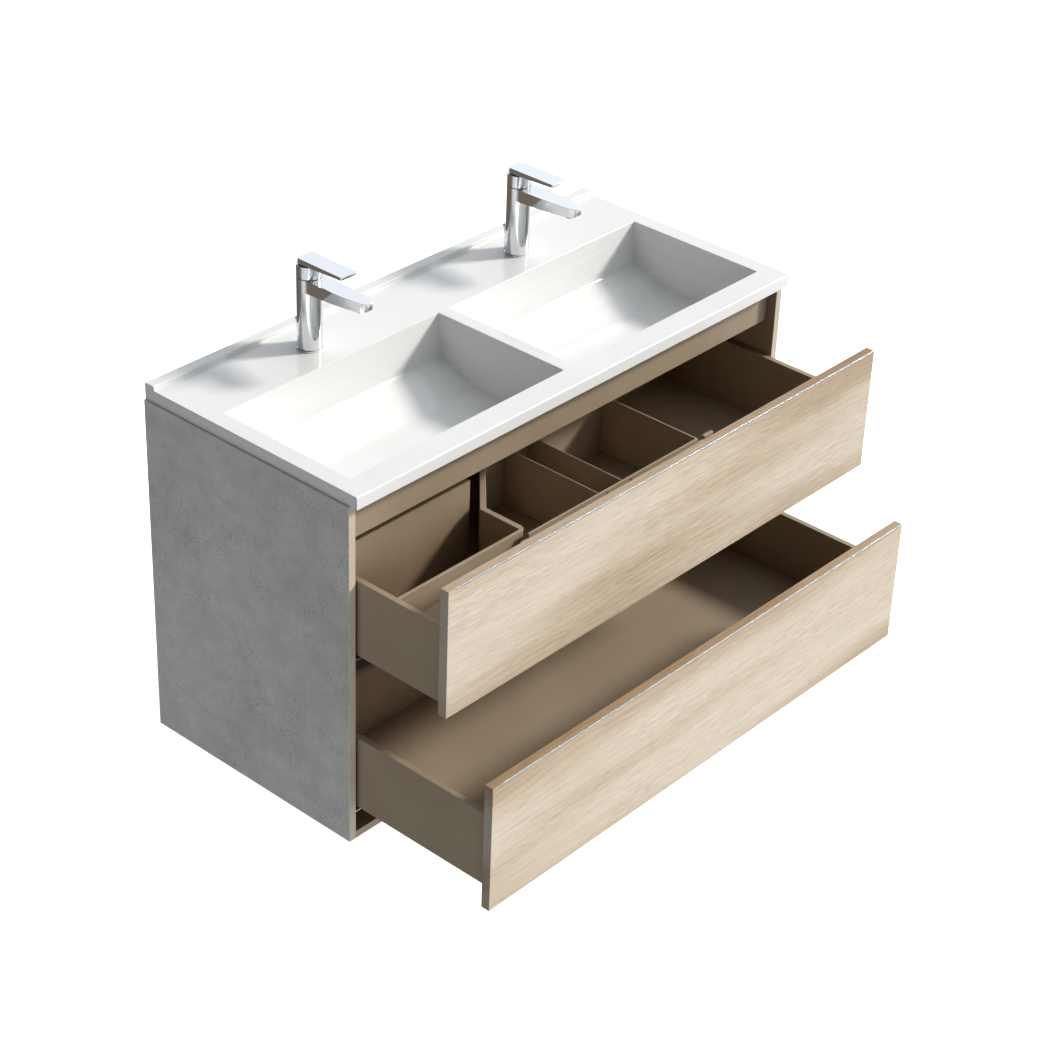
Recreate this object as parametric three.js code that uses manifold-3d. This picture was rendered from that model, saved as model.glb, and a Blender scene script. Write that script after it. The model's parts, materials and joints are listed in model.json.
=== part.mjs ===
// Wall-hung bathroom vanity cabinet: a one-piece double basin on a carcass with two full-width
// drawers, two single-lever mixers and their pop-up wastes.
// Millimetres. +X is to the right of a person facing the cabinet, -Y is the front, +Z is up.
// Depths are counted from the wall (y = 0) and heights from the carcass underside. The group as a
// whole is lowered by MOUNT_HEIGHT, so that the origin lies on the wall face of the upper rail.
import * as THREE from "three";
import { mergeVertices } from "three/addons/utils/BufferGeometryUtils.js";
import Module from "manifold-3d";

// ---- driving dimensions -------------------------------------------------------------------
const WIDTH = 1200;
const DEPTH = 520;
const CARCASS_HEIGHT = 716;
const PANEL = 16;
const MOUNT_HEIGHT = 671;
const INNER_X = WIDTH / 2 - PANEL;

const TOP_WIDTH = 1192;
const TOP_THICKNESS = 25;
const TOP_OVERHANG = 16;
const UPSTAND_HEIGHT = 9;
const UPSTAND_DEPTH = 24;
const DECK = CARCASS_HEIGHT + TOP_THICKNESS;

const BASIN_OUTER_X = 554;
const BASIN_INNER_X = 15;
const BASIN_FRONT = -484;
const BASIN_BACK = -168;
const BASIN_FLOOR = 622;
const BASIN_UNDERSIDE = 606;
const BASIN_WALL = 12;
const WASTE_X = 286;
const WASTE_Y = -404;
const TAP_X = 283;
const TAP_Y = -98;
const LIFT_ROD_Y = 31; // behind the mixer's axis

const FRONT_WIDTH = 1197;
const FRONT_THICKNESS = 19;
const FRONT_GAP = 2;
const DRAWER_OUTER_X = 579;
const DRAWER_WALL = 12;
const DRAWER_LENGTH = 470;
const DRAWER_HEIGHT = 155;
const BOTTOM_THICKNESS = 8;
const BOTTOM_RECESS = 10;
const DRAWER_FLOOR = BOTTOM_RECESS + BOTTOM_THICKNESS;
const DRAWER_INNER_X = DRAWER_OUTER_X - DRAWER_WALL;
const RUNNER_LENGTH = 470;

// Height of each drawer's sides above the carcass underside, how far the drawer is pulled out in
// the stored pose, and its front's lower and upper edge above the sides' own lower edge.
const UPPER = { base: 404, open: 210, frontBottom: -8, frontTop: 249 };
const LOWER = { base: 70, open: 322, frontBottom: -31, frontTop: 237 };

// ---- materials ----------------------------------------------------------------------------
function material(color, roughness, metalness) {
  return new THREE.MeshStandardMaterial({ color, roughness, metalness });
}
const CONCRETE = material(0x8c8c8a, 0.75, 0);
const TAUPE = material(0x7d6c5a, 0.7, 0);
const OAK = material(0xd7c9b5, 0.6, 0);
const TAUPE_PLASTIC = material(0x8a7763, 0.55, 0);
const GREY_PLASTIC = material(0x55565a, 0.5, 0);
const CERAMIC = material(0xf5f5f0, 0.15, 0);
const CHROME = material(0xd8dade, 0.08, 1);
const ALUMINIUM = material(0xe2e3e4, 0.3, 1);
const STEEL = material(0xa8a9a8, 0.45, 1);

// ---- helpers ------------------------------------------------------------------------------
const wasm = await Module();
wasm.setup();

const SIDES = [["left", -1], ["right", 1]];

function group(parent, x, y, z) {
  const made = new THREE.Group();
  made.position.set(x, y, z);
  parent?.add(made);
  return made;
}

function add(parent, name, finish, geometry) {
  const mesh = new THREE.Mesh(geometry, finish);
  mesh.name = name;
  parent.add(mesh);
  return mesh;
}

// A board or block, from its lowest and highest x, y and z. The mesh's position is its centre.
function addBox(parent, name, finish, x, y, z) {
  const geometry = new THREE.BoxGeometry(x[1] - x[0], y[1] - y[0], z[1] - z[0]);
  const mesh = add(parent, name, finish, geometry);
  mesh.position.set((x[0] + x[1]) / 2, (y[0] + y[1]) / 2, (z[0] + z[1]) / 2);
  return mesh;
}

function extrude(points, depth, basis, origin) {
  const shape = new THREE.Shape(points.map(([u, v]) => new THREE.Vector2(u, v)));
  const geometry = new THREE.ExtrudeGeometry(shape, { depth, bevelEnabled: false });
  const matrix = new THREE.Matrix4().makeBasis(...basis);
  matrix.setPosition(...origin);
  return geometry.applyMatrix4(matrix);
}

const AXIS_X = new THREE.Vector3(1, 0, 0);
const AXIS_Y = new THREE.Vector3(0, 1, 0);
const AXIS_Z = new THREE.Vector3(0, 0, 1);
const TO_FRONT = new THREE.Vector3(0, -1, 0);

// Profile in (y, z), run along X.
function extrudeX(profile, x0, x1) {
  return extrude(profile, x1 - x0, [AXIS_Y, AXIS_Z, AXIS_X], [x0, 0, 0]);
}

// Profile in (x, z), run along Y.
function extrudeY(profile, y0, y1) {
  return extrude(profile, y1 - y0, [AXIS_X, AXIS_Z, TO_FRONT], [0, y1, 0]);
}

// Plan in (x, y), run along Z.
function extrudeZ(plan, z0, z1) {
  return extrude(plan, z1 - z0, [AXIS_X, AXIS_Y, AXIS_Z], [0, 0, z0]);
}

// Points of an arc, from one angle to the other in degrees.
function arc(cx, cy, radius, from, to, steps) {
  const points = [];
  for (let i = 0; i <= steps; i += 1) {
    const angle = THREE.MathUtils.degToRad(from + ((to - from) * i) / steps);
    points.push([cx + radius * Math.cos(angle), cy + radius * Math.sin(angle)]);
  }
  return points;
}

// Profile in (radius, height), turned about Z.
function lathe(profile, segments) {
  const points = profile.map(([r, h]) => new THREE.Vector2(r, h));
  return new THREE.LatheGeometry(points, segments).rotateX(Math.PI / 2);
}

function toManifold(source) {
  const geometry = source.clone();
  geometry.deleteAttribute("normal");
  geometry.deleteAttribute("uv");
  const merged = mergeVertices(geometry, 1e-4);
  const mesh = new wasm.Mesh({
    numProp: 3,
    vertProperties: new Float32Array(merged.attributes.position.array),
    triVerts: new Uint32Array(merged.index.array),
  });
  return new wasm.Manifold(mesh);
}

function fromManifold(manifold) {
  const mesh = manifold.getMesh();
  const geometry = new THREE.BufferGeometry();
  geometry.setAttribute("position", new THREE.BufferAttribute(mesh.vertProperties, 3));
  geometry.setIndex(new THREE.BufferAttribute(mesh.triVerts, 1));
  geometry.computeVertexNormals();
  return geometry;
}

const cabinet = group(null, 0, 0, -MOUNT_HEIGHT);
cabinet.name = "bathroom_vanity_cabinet";

// ---- carcass ------------------------------------------------------------------------------
function addCarcass() {
  const inside = [-INNER_X, INNER_X];
  const depth = [-DEPTH, 0];
  addBox(cabinet, "side_panel_left", CONCRETE, [-WIDTH / 2, -INNER_X], depth, [0, CARCASS_HEIGHT]);
  addBox(cabinet, "side_panel_right", CONCRETE, [INNER_X, WIDTH / 2], depth, [0, CARCASS_HEIGHT]);
  addBox(cabinet, "bottom_panel", TAUPE, inside, depth, [0, PANEL]);
  addBox(cabinet, "hanging_rail_upper", TAUPE, inside, [-18, 0], [626, CARCASS_HEIGHT]);
  addBox(cabinet, "hanging_rail_lower", TAUPE, inside, [-18, 0], [PANEL, 96]);
  addBox(cabinet, "back_panel", TAUPE, inside, [-14, -6], [96, 470]);
  // The front rail stands back from the panels' front edges.
  addBox(cabinet, "front_rail", TAUPE, inside, [-500, -484], [633, CARCASS_HEIGHT]);
}

// ---- basin top ----------------------------------------------------------------------------
// The slab has a rounded front edge and a low flat-topped upstand along the wall.
function slabSection() {
  const front = -DEPTH - TOP_OVERHANG;
  const crest = DECK + UPSTAND_HEIGHT;
  return [
    [front, CARCASS_HEIGHT],
    [0, CARCASS_HEIGHT],
    ...arc(-2.5, crest - 2.5, 2.5, 0, 90, 3),
    ...arc(-UPSTAND_DEPTH + 2.5, crest - 2.5, 2.5, 90, 180, 3),
    ...arc(-UPSTAND_DEPTH - 3, DECK + 3, 3, 360, 270, 3),
    ...arc(front + 3, DECK - 3, 3, 90, 180, 3),
  ];
}

// The body under the slab that holds both basins. Its front leans back behind the front rail.
function bowlSection() {
  const rear = BASIN_BACK + BASIN_WALL;
  return [
    ...arc(BASIN_FRONT + 36, BASIN_UNDERSIDE + 14, 14, 180, 270, 5),
    ...arc(rear - 20, BASIN_UNDERSIDE + 20, 20, 270, 360, 5),
    [rear, CARCASS_HEIGHT + 1],
    [BASIN_FRONT + 2, CARCASS_HEIGHT + 1],
    [BASIN_FRONT + 8, BASIN_FLOOR + 68],
  ];
}

// One basin's hollow: its front wall leans back with the body, and its floor is level at the front
// and rises towards the rear wall.
function hollowSection() {
  return [
    [BASIN_FRONT, DECK + 1],
    [BASIN_FRONT, DECK],
    [BASIN_FRONT + 17, DECK - 37],
    ...arc(BASIN_FRONT + 46, BASIN_FLOOR + 14, 14, 180, 270, 5),
    [-282, BASIN_FLOOR],
    [-278, BASIN_FLOOR + 0.4],
    [-188, BASIN_FLOOR + 27],
    [-181, BASIN_FLOOR + 31],
    [-177, BASIN_FLOOR + 38],
    [BASIN_BACK, DECK],
    [BASIN_BACK, DECK + 1],
  ];
}

function addBasinTop() {
  const bowlEnd = BASIN_OUTER_X + BASIN_WALL;
  const rodHole = [[0, -40], [4, -40], [4, 10], [0, 10]];
  const wasteHole = [[0, -30], [22, -30], [22, 10], [0, 10]];
  let top = toManifold(extrudeX(slabSection(), -TOP_WIDTH / 2, TOP_WIDTH / 2));
  top = top.add(toManifold(extrudeX(bowlSection(), -bowlEnd, bowlEnd)));
  for (const [, sign] of SIDES) {
    const ends = [sign * BASIN_INNER_X, sign * BASIN_OUTER_X].sort((a, b) => a - b);
    const rod = lathe(rodHole, 20).translate(sign * TAP_X, TAP_Y + LIFT_ROD_Y, DECK);
    const waste = lathe(wasteHole, 32).translate(sign * WASTE_X, WASTE_Y, BASIN_FLOOR);
    for (const cut of [extrudeX(hollowSection(), ...ends), rod, waste]) {
      top = top.subtract(toManifold(cut));
    }
  }
  add(cabinet, "basin_top", CERAMIC, fromManifold(top));
}

// ---- wastes: a flanged ring in each basin floor and a lifting plug ---------------------------
function addWaste(side, sign) {
  const ring = [
    [18, -21],
    [21.7, -21],
    [21.7, 0],
    [31, 0],
    [32, 1],
    [31, 2.4],
    [27, 3],
    [20, 3],
    [18, 1],
    [18, -21],
  ];
  const plug = [
    [0, -16],
    [4, -16],
    [4, 9],
    [24, 11.5],
    [26, 12.5],
    [25, 14],
    [12, 15.6],
    [0, 16],
  ];
  const waste = group(cabinet, sign * WASTE_X, WASTE_Y, BASIN_FLOOR);
  add(waste, `waste_ring_${side}`, CHROME, lathe(ring, 32));
  add(waste, `waste_plug_${side}`, CHROME, lathe(plug, 28));
}

// ---- mixers ---------------------------------------------------------------------------------
const BODY_R = 24;
const SPOUT_TOP = 147;
const LEVER_BACK = 13;
const LEVER_FRONT = -103;
const LEVER_UNDER = 173;
const LEVER_TOP = 185;

function mixerBody() {
  const body = [
    [0, 0],
    [25, 0],
    [25, 3],
    [BODY_R, 4.5],
    [BODY_R, SPOUT_TOP - 1],
    [BODY_R - 1, SPOUT_TOP],
    [0, SPOUT_TOP],
  ];
  // Seen from above, the spout is as wide as the body at its root and narrows to a blunt nose.
  const half = [
    [21, 0],
    [20.5, -60],
    [18.5, -104],
    [14.5, -138],
    [11, -151],
    [7, -154.5],
    [0, -155.5],
  ];
  const plan = [...half, ...half.slice(0, -1).reverse().map(([x, y]) => [-x, y])];
  // Seen from the side, its top is level and its underside rises to a rounded nose.
  const side = [
    [0, SPOUT_TOP],
    [0, 121],
    [-22, 121.5],
    [-60, 123],
    [-100, 125.5],
    [-136, 127.5],
    ...arc(-146, 136.5, 9, 290, 180, 5),
    [-155.5, 143],
    [-153, SPOUT_TOP],
  ];
  const spout = toManifold(extrudeX(side, -30, 30)).intersect(
    toManifold(extrudeZ(plan, 100, 160)),
  );
  return fromManifold(toManifold(lathe(body, 40)).add(spout));
}

// A flat lever, thicker over the body than at its front end.
function mixerLever() {
  const side = [
    [LEVER_BACK, LEVER_UNDER],
    [LEVER_BACK, LEVER_TOP],
    [LEVER_FRONT, LEVER_TOP],
    [LEVER_FRONT, LEVER_TOP - 6.5],
  ];
  const plan = [
    ...arc(-14, LEVER_BACK - 6, 6, 90, 180, 4),
    ...arc(-17.5, LEVER_FRONT + 2.5, 2.5, 180, 270, 2),
    ...arc(17.5, LEVER_FRONT + 2.5, 2.5, 270, 360, 2),
    ...arc(14, LEVER_BACK - 6, 6, 0, 90, 4),
  ];
  const plate = toManifold(extrudeX(side, -30, 30));
  return fromManifold(plate.intersect(toManifold(extrudeZ(plan, 160, 200))));
}

function addMixer(side, sign) {
  const cap = [
    [0, SPOUT_TOP + 0.5],
    [BODY_R - 1.2, SPOUT_TOP + 0.5],
    [BODY_R, SPOUT_TOP + 1.5],
    [BODY_R, LEVER_UNDER - 0.4],
    [0, LEVER_UNDER - 0.4],
  ];
  const rod = [
    [0, -60],
    [2.5, -60],
    [2.5, 29],
    [3.2, 31],
    [5.4, 48],
    [5.4, 50.5],
    [4.4, 52],
    [0, 52],
  ];
  const aerator = [[0, 122.4], [8.5, 122.4], [8.5, 126.4], [0, 126.4]];
  const mixer = group(cabinet, sign * TAP_X, TAP_Y, DECK);
  add(mixer, `tap_${side}_body`, CHROME, mixerBody());
  add(mixer, `tap_${side}_aerator`, GREY_PLASTIC, lathe(aerator, 24)).position.y = -133;
  add(mixer, `tap_${side}_cartridge`, CHROME, lathe(cap, 40));
  add(mixer, `tap_${side}_lever`, CHROME, mixerLever());
  add(mixer, `tap_${side}_lift_rod`, CHROME, lathe(rod, 20)).position.y = LIFT_ROD_Y;
}

// ---- drawer runners, hidden under the drawer sides ---------------------------------------------
// Each has a fixed angle on the side panel, a middle channel and a channel under the drawer.
// The middle one travels half as far as the drawer. Heights are from the drawer sides' lower edge.
const FIXED_RUNNER = [
  [INNER_X, -14],
  [INNER_X, 16],
  [INNER_X - 2, 16],
  [INNER_X - 2, -12],
  [INNER_X - 32, -12],
  [INNER_X - 32, -14],
];
const MIDDLE_RUNNER = [
  [565, -11],
  [565, -1.5],
  [563.4, -1.5],
  [563.4, -9.4],
  [554.6, -9.4],
  [554.6, -1.5],
  [553, -1.5],
  [553, -11],
];
const MOVING_RUNNER = [
  [566, -1],
  [566, BOTTOM_RECESS],
  [552, BOTTOM_RECESS],
  [552, -1],
  [553.6, -1],
  [553.6, 8.4],
  [564.4, 8.4],
  [564.4, -1],
];

function addRunners(name, drawer) {
  const start = -DEPTH + 4;
  const members = [
    ["fixed", FIXED_RUNNER, start, RUNNER_LENGTH],
    ["middle", MIDDLE_RUNNER, start - drawer.open / 2, RUNNER_LENGTH],
    ["moving", MOVING_RUNNER, -DEPTH - FRONT_GAP - drawer.open, RUNNER_LENGTH - 14],
  ];
  for (const [side, sign] of SIDES) {
    const runner = group(cabinet, 0, 0, drawer.base);
    for (const [member, section, y, length] of members) {
      const profile = section.map(([x, z]) => [sign * x, z]);
      const mesh = add(runner, `runner_${name}_${side}_${member}`, STEEL,
        extrudeY(profile, 0, length));
      mesh.position.y = y;
    }
  }
}

// ---- drawers ----------------------------------------------------------------------------------
// A drawer box with its front, as a group at the rear face of the front and the sides' lower edge.
// The front's upper outer edge holds an inlaid metal strip.
const STRIP_START = -580;
const STRIP_DEPTH = 3;
const STRIP_HEIGHT = 4;

function addDrawer(name, { base, open, frontBottom, frontTop }) {
  const drawer = group(cabinet, 0, -DEPTH - FRONT_GAP - open, base);
  const half = FRONT_WIDTH / 2;
  const face = -FRONT_THICKNESS;
  const stripY = [face, face + STRIP_DEPTH];
  const stripZ = [frontTop - STRIP_HEIGHT, frontTop];

  const board = new THREE.BoxGeometry(FRONT_WIDTH, FRONT_THICKNESS, frontTop - frontBottom);
  board.translate(0, face / 2, (frontTop + frontBottom) / 2);
  const groove = new THREE.BoxGeometry(half + 1 - STRIP_START, STRIP_DEPTH + 1, STRIP_HEIGHT + 1);
  groove.translate(
    (half + 1 + STRIP_START) / 2, face + (STRIP_DEPTH - 1) / 2, frontTop + (1 - STRIP_HEIGHT) / 2,
  );
  add(drawer, `${name}_front`, OAK, fromManifold(toManifold(board).subtract(toManifold(groove))));
  addBox(drawer, `${name}_front_strip`, ALUMINIUM, [STRIP_START, half], stripY, stripZ);

  for (const [side, sign] of SIDES) {
    const x = [sign * DRAWER_INNER_X, sign * DRAWER_OUTER_X].sort((a, b) => a - b);
    addBox(drawer, `${name}_side_${side}`, TAUPE, x, [0, DRAWER_LENGTH], [0, DRAWER_HEIGHT]);
  }
  const inside = [-DRAWER_INNER_X, DRAWER_INNER_X];
  const rear = [DRAWER_LENGTH - DRAWER_WALL, DRAWER_LENGTH];
  addBox(drawer, `${name}_bottom`, TAUPE, inside, [0, rear[0]], [BOTTOM_RECESS, DRAWER_FLOOR]);
  addBox(drawer, `${name}_back`, TAUPE, inside, rear, [BOTTOM_RECESS, DRAWER_HEIGHT]);
  return drawer;
}

// Round cover cap on the inner face of the drawer's right side.
function addCoverCap(drawer) {
  const thickness = 1.5;
  const cap = new THREE.CylinderGeometry(6, 6, thickness, 24).rotateZ(Math.PI / 2);
  const mesh = add(drawer, "lower_cover_cap", TAUPE_PLASTIC, cap);
  mesh.position.set(DRAWER_INNER_X - thickness / 2, 236, DRAWER_FLOOR + 44);
}

// ---- inserts of the upper drawer ------------------------------------------------------------------
// Depths are from the rear face of the drawer front, heights from the sides' lower edge.
const INSERT_TOP = 141;
const INSERT_Z = [DRAWER_FLOOR, INSERT_TOP];
const ORGANISER_FRONT = 121;
const ORGANISER_BACK = 356;
const ORGANISER_X = 240;
const ORGANISER_WALL = 4;
const TRAY_FRONT = 138;
const TRAY_TURN = 235;
const TRAY_X = -229;
const TRAY_WALL = 12;
const DIAGONAL_END_X = -101;

function addOrganiser(drawer) {
  // The front wall has a lower ear at each end.
  const ear = [96, 131];
  const earX = ORGANISER_X + 20;
  const frontWall = [
    [-ORGANISER_X, DRAWER_FLOOR],
    [ORGANISER_X, DRAWER_FLOOR],
    [ORGANISER_X, ear[0]],
    [earX, ear[0]],
    [earX, ear[1]],
    [ORGANISER_X, ear[1]],
    [ORGANISER_X, INSERT_TOP],
    [-ORGANISER_X, INSERT_TOP],
    [-ORGANISER_X, ear[1]],
    [-earX, ear[1]],
    [-earX, ear[0]],
    [-ORGANISER_X, ear[0]],
  ];
  const cells = [ORGANISER_FRONT + ORGANISER_WALL, ORGANISER_BACK];
  const rear = [ORGANISER_BACK, ORGANISER_BACK + ORGANISER_WALL];
  add(drawer, "organiser_front", TAUPE_PLASTIC,
    extrudeY(frontWall, ORGANISER_FRONT, ORGANISER_FRONT + ORGANISER_WALL));
  addBox(drawer, "organiser_right", TAUPE_PLASTIC,
    [ORGANISER_X - ORGANISER_WALL, ORGANISER_X], cells, INSERT_Z);
  for (const [side, x] of [["left", -46], ["right", 20]]) {
    addBox(drawer, `organiser_divider_${side}`, TAUPE_PLASTIC, [x - 1.5, x + 1.5], cells, INSERT_Z);
  }
  addBox(drawer, "organiser_back", TAUPE_PLASTIC, [DIAGONAL_END_X, ORGANISER_X], rear, INSERT_Z);
}

// Left of the organiser, a tray whose wall turns a rounded corner, runs back and then follows a
// diagonal to the organiser's rear wall. A tall divider stands behind the tray.
function addTray(drawer) {
  const inner = TRAY_X - TRAY_WALL;
  const corner = [
    [-DRAWER_INNER_X, TRAY_FRONT],
    ...arc(inner, TRAY_FRONT + TRAY_WALL, TRAY_WALL, 270, 360, 6),
    [inner, TRAY_FRONT + TRAY_WALL],
    [inner, TRAY_FRONT + TRAY_WALL / 2],
    [-DRAWER_INNER_X, TRAY_FRONT + TRAY_WALL / 2],
  ];
  const diagonal = [
    [inner, TRAY_TURN],
    [TRAY_X, TRAY_TURN],
    [DIAGONAL_END_X, ORGANISER_BACK],
    [DIAGONAL_END_X, ORGANISER_BACK + 16],
    [inner, TRAY_TURN + 5],
  ];
  const shelf = { x: [-DRAWER_INNER_X, inner], y: [0, TRAY_FRONT], z: [84, 88] };
  const tall = { y: [265, 265 + TRAY_WALL], z: [DRAWER_FLOOR, 191] };
  add(drawer, "tray_wall_front", TAUPE_PLASTIC, extrudeZ(corner, ...INSERT_Z));
  addBox(drawer, "tray_wall_side", TAUPE_PLASTIC,
    [inner, TRAY_X], [TRAY_FRONT + TRAY_WALL, TRAY_TURN], INSERT_Z);
  add(drawer, "tray_wall_diagonal", TAUPE_PLASTIC, extrudeZ(diagonal, ...INSERT_Z));
  addBox(drawer, "tray_shelf", TAUPE_PLASTIC, shelf.x, shelf.y, shelf.z);
  addBox(drawer, "tall_divider", TAUPE, shelf.x, tall.y, tall.z);
}

addCarcass();
addBasinTop();
for (const [side, sign] of SIDES) {
  addWaste(side, sign);
  addMixer(side, sign);
}
addRunners("upper", UPPER);
addRunners("lower", LOWER);
const upperDrawer = addDrawer("upper", UPPER);
addOrganiser(upperDrawer);
addTray(upperDrawer);
addCoverCap(addDrawer("lower", LOWER));

export default cabinet;
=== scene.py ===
"""Looks of the wall-hung bathroom vanity cabinet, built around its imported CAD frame.

Metres, in the frame of the CAD: +X to the right of a person facing the cabinet, -Y towards that
person, +Z up, origin on the wall face of the upper hanging rail.
"""

import json
import math

import bmesh
import bpy
from mathutils import Matrix, Vector


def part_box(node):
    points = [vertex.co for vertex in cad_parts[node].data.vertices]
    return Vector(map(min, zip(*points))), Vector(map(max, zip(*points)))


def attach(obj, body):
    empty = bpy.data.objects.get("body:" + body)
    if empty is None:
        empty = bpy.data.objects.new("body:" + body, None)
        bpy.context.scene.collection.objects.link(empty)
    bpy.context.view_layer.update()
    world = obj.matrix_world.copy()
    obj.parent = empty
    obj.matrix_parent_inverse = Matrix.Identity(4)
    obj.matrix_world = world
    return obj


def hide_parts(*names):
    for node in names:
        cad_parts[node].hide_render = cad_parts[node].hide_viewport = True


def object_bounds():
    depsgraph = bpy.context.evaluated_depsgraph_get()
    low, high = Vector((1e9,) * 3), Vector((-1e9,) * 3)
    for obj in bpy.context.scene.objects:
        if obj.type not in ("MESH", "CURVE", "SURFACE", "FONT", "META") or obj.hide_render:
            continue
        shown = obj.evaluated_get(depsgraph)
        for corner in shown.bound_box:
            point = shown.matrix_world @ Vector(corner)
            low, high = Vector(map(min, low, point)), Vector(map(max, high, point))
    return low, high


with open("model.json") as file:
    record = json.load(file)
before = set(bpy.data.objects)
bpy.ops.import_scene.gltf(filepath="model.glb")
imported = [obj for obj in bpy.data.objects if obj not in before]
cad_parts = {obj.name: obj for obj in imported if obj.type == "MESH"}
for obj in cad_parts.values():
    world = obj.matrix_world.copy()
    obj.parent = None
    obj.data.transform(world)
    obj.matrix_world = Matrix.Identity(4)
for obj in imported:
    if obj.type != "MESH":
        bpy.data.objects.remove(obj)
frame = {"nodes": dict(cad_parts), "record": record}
cad_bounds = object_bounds()

MM = 0.001
SLOT_OF = {part["node"]: part["material_slot"] for part in frame["record"]["subparts"]}
BODY_OF = {
    node: body
    for body, nodes in frame["record"]["behaviour"]["bodies"].items()
    for node in nodes
}
SIDES = (("left", -1), ("right", 1))


# ---- camera, light and floor ----------------------------------------------------------------

def add_camera():
    """The viewpoint: from the left front and above, turned very slightly about its own axis."""
    azimuth, elevation, roll = (math.radians(a) for a in (-49.075, 32.011, 2.236))
    back = Vector((
        math.sin(azimuth) * math.cos(elevation),
        -math.cos(azimuth) * math.cos(elevation),
        math.sin(elevation),
    ))
    level = (-back).cross(Vector((0, 0, 1))).normalized()
    upright = level.cross(-back)
    right = math.cos(roll) * level + math.sin(roll) * upright
    up = -math.sin(roll) * level + math.cos(roll) * upright
    data = bpy.data.cameras.new("camera")
    data.sensor_width = 36
    data.lens = 89.459
    data.clip_end = 100
    camera = bpy.data.objects.new("camera", data)
    camera.matrix_world = Matrix((right, up, back)).transposed().to_4x4()
    camera.location = (-3.211, -3.174, 2.347)
    bpy.context.scene.collection.objects.link(camera)
    bpy.context.scene.camera = camera


def add_world():
    """Soft surroundings: the upper half brightens to the right and the top and holds a large soft
    panel at the right rear; the lower half is pale, and brown and darker at the rear."""
    world = bpy.data.worlds.new("studio")
    bpy.context.scene.world = world
    world.use_nodes = True
    tree = world.node_tree
    tree.nodes.clear()
    n = Nodes(tree, "Generated")

    def gradient(base, along, least=0.0):
        """A strength with a base value, a rise along a direction, and a least value."""
        return n.math("MAXIMUM", n.math("ADD", n.dot(n.place, along), base), least)

    panel = n.between(gradient(0.0, (0.637, 0.557, 0.533)), 0.72, 0.98, 0.0, 0.40)
    upper = n.math("ADD", gradient(0.27, (0.66, -0.14, 0.22), 0.06), panel)
    lower = gradient(0.84, (0.05, -0.28, 0.0), 0.12)
    blur = 0.06
    strength = n.linear(n.along("Z"), -blur, blur, lower, upper)
    rear = n.linear(n.along("Y"), 0.20, 0.55)
    lower_color = n.mix(rear, (0.935, 0.978, 1.03), (0.27, 0.225, 0.19))
    color = n.mix(n.linear(n.along("Z"), -blur, blur), lower_color, (0.935, 0.98, 1.03))
    background = tree.nodes.new("ShaderNodeBackground")
    n.put(background.inputs["Color"], color)
    n.put(background.inputs["Strength"], strength)
    output = tree.nodes.new("ShaderNodeOutputWorld")
    tree.links.new(background.outputs[0], output.inputs[0])


def add_sun():
    """A low soft key light from the right front."""
    data = bpy.data.lights.new("key", "SUN")
    data.energy = 3.4
    data.angle = math.radians(9)
    data.color = (1.0, 0.965, 0.905)
    sun = bpy.data.objects.new("key", data)
    travel = Vector((-1.55, 1.0, -1.09))
    sun.rotation_mode = "QUATERNION"
    sun.rotation_quaternion = travel.to_track_quat("-Z", "Y")
    bpy.context.scene.collection.objects.link(sun)


def add_floor():
    """A plain pale floor below the hanging cabinet. It shines evenly, and it neither lights the
    cabinet nor shows in its chrome."""
    half = 40
    drop = 0.28
    height = cad_bounds[0][2] - drop
    mesh = bpy.data.meshes.new("floor")
    corners = [(-half, -half), (half, -half), (half, half), (-half, half)]
    mesh.from_pydata([(x, y, height) for x, y in corners], [], [(0, 1, 2, 3)])
    floor = bpy.data.objects.new("floor", mesh)
    bpy.context.scene.collection.objects.link(floor)
    material = bpy.data.materials.new("floor_white")
    material.use_nodes = True
    shader = material.node_tree.nodes["Principled BSDF"]
    shader.inputs["Base Color"].default_value = (0.9, 0.9, 0.9, 1)
    shader.inputs["Roughness"].default_value = 0.9
    shader.inputs["Specular IOR Level"].default_value = 0.1
    shader.inputs["Emission Color"].default_value = (1, 1, 1, 1)
    shader.inputs["Emission Strength"].default_value = 0.9
    mesh.materials.append(material)
    floor.visible_diffuse = False
    floor.visible_glossy = False


# ---- node shorthand --------------------------------------------------------------------------

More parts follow.
